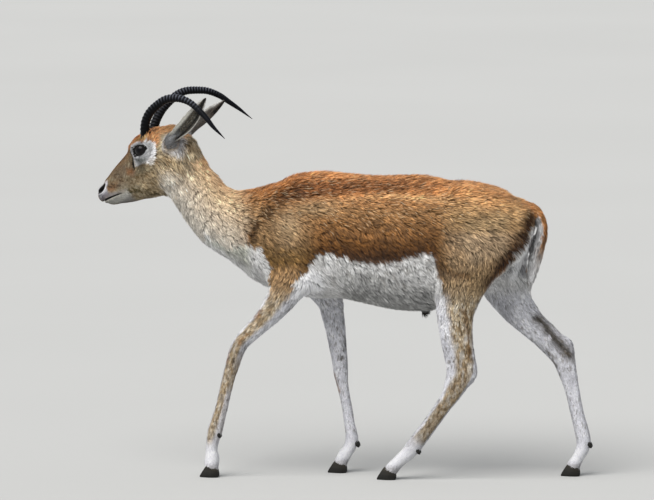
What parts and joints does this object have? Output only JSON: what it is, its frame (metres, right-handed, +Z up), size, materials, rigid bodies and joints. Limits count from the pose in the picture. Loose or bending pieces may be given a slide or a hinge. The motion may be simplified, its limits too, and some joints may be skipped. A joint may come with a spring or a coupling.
{
  "type": "blackbuck",
  "caption": "Still life-size model of a young male blackbuck walking, with ringed back-curved horns, coarse brown coat and white underside.",
  "frame": {"origin": "middle of the bounding box's underside, on the floor between the hooves", "axes": "+Z up, the animal faces -X, its left side towards -Y; metres"},
  "size_m": [1.1932, 0.2496, 0.927],
  "materials": {
    "barrel": "brown coat, white below",
    "chest": "brown coat, white below",
    "dewclaw_fl_in": "hoof horn",
    "dewclaw_fl_out": "hoof horn",
    "dewclaw_fr_in": "hoof horn",
    "dewclaw_fr_out": "hoof horn",
    "dewclaw_hl_in": "hoof horn",
    "dewclaw_hl_out": "hoof horn",
    "dewclaw_hr_in": "hoof horn",
    "dewclaw_hr_out": "hoof horn",
    "ear_l": "short grey hair",
    "ear_r": "short grey hair",
    "eye_l": "wet dark eye",
    "eye_r": "wet dark eye",
    "head": "beige coat",
    "hindquarters": "tan coat, white behind",
    "hoof_fl_in": "hoof horn, worn",
    "hoof_fl_out": "hoof horn, worn",
    "hoof_fr_in": "hoof horn, worn",
    "hoof_fr_out": "hoof horn, worn",
    "hoof_hl_in": "hoof horn, worn",
    "hoof_hl_out": "hoof horn, worn",
    "hoof_hr_in": "hoof horn, worn",
    "hoof_hr_out": "hoof horn, worn",
    "horn_l": "horn, ringed, satin",
    "horn_r": "horn, ringed, satin",
    "leg_fl_cannon": "short tan and white hair",
    "leg_fl_pastern": "short tan and white hair",
    "leg_fl_upper": "short tan and white hair",
    "leg_fr_cannon": "short tan and white hair",
    "leg_fr_pastern": "short tan and white hair",
    "leg_fr_upper": "short tan and white hair",
    "leg_hl_cannon": "short tan and white hair",
    "leg_hl_pastern": "short tan and white hair",
    "leg_hl_upper": "short tan and white hair",
    "leg_hr_cannon": "short tan and white hair",
    "leg_hr_pastern": "short tan and white hair",
    "leg_hr_upper": "short tan and white hair",
    "neck": "coarse beige coat",
    "tail": "brown hair with a pale fringe"
  },
  "bodies": {
    "root": {"barrel": "barrel", "chest": "chest", "dewclaw_fl_in": "dewclaw_fl_in", "dewclaw_fl_out": "dewclaw_fl_out", "dewclaw_fr_in": "dewclaw_fr_in", "dewclaw_fr_out": "dewclaw_fr_out", "dewclaw_hl_in": "dewclaw_hl_in", "dewclaw_hl_out": "dewclaw_hl_out", "dewclaw_hr_in": "dewclaw_hr_in", "dewclaw_hr_out": "dewclaw_hr_out", "ear_l": "ear_l", "ear_r": "ear_r", "eye_l": "eye_l", "eye_r": "eye_r", "head": "head", "hindquarters": "hindquarters", "hoof_fl_in": "hoof_fl_in", "hoof_fl_out": "hoof_fl_out", "hoof_fr_in": "hoof_fr_in", "hoof_fr_out": "hoof_fr_out", "hoof_hl_in": "hoof_hl_in", "hoof_hl_out": "hoof_hl_out", "hoof_hr_in": "hoof_hr_in", "hoof_hr_out": "hoof_hr_out", "horn_l": "horn_l", "horn_r": "horn_r", "leg_fl_cannon": "leg_fl_cannon", "leg_fl_pastern": "leg_fl_pastern", "leg_fl_upper": "leg_fl_upper", "leg_fr_cannon": "leg_fr_cannon", "leg_fr_pastern": "leg_fr_pastern", "leg_fr_upper": "leg_fr_upper", "leg_hl_cannon": "leg_hl_cannon", "leg_hl_pastern": "leg_hl_pastern", "leg_hl_upper": "leg_hl_upper", "leg_hr_cannon": "leg_hr_cannon", "leg_hr_pastern": "leg_hr_pastern", "leg_hr_upper": "leg_hr_upper", "neck": "neck", "tail": "tail"}
  },
  "joints": []
}
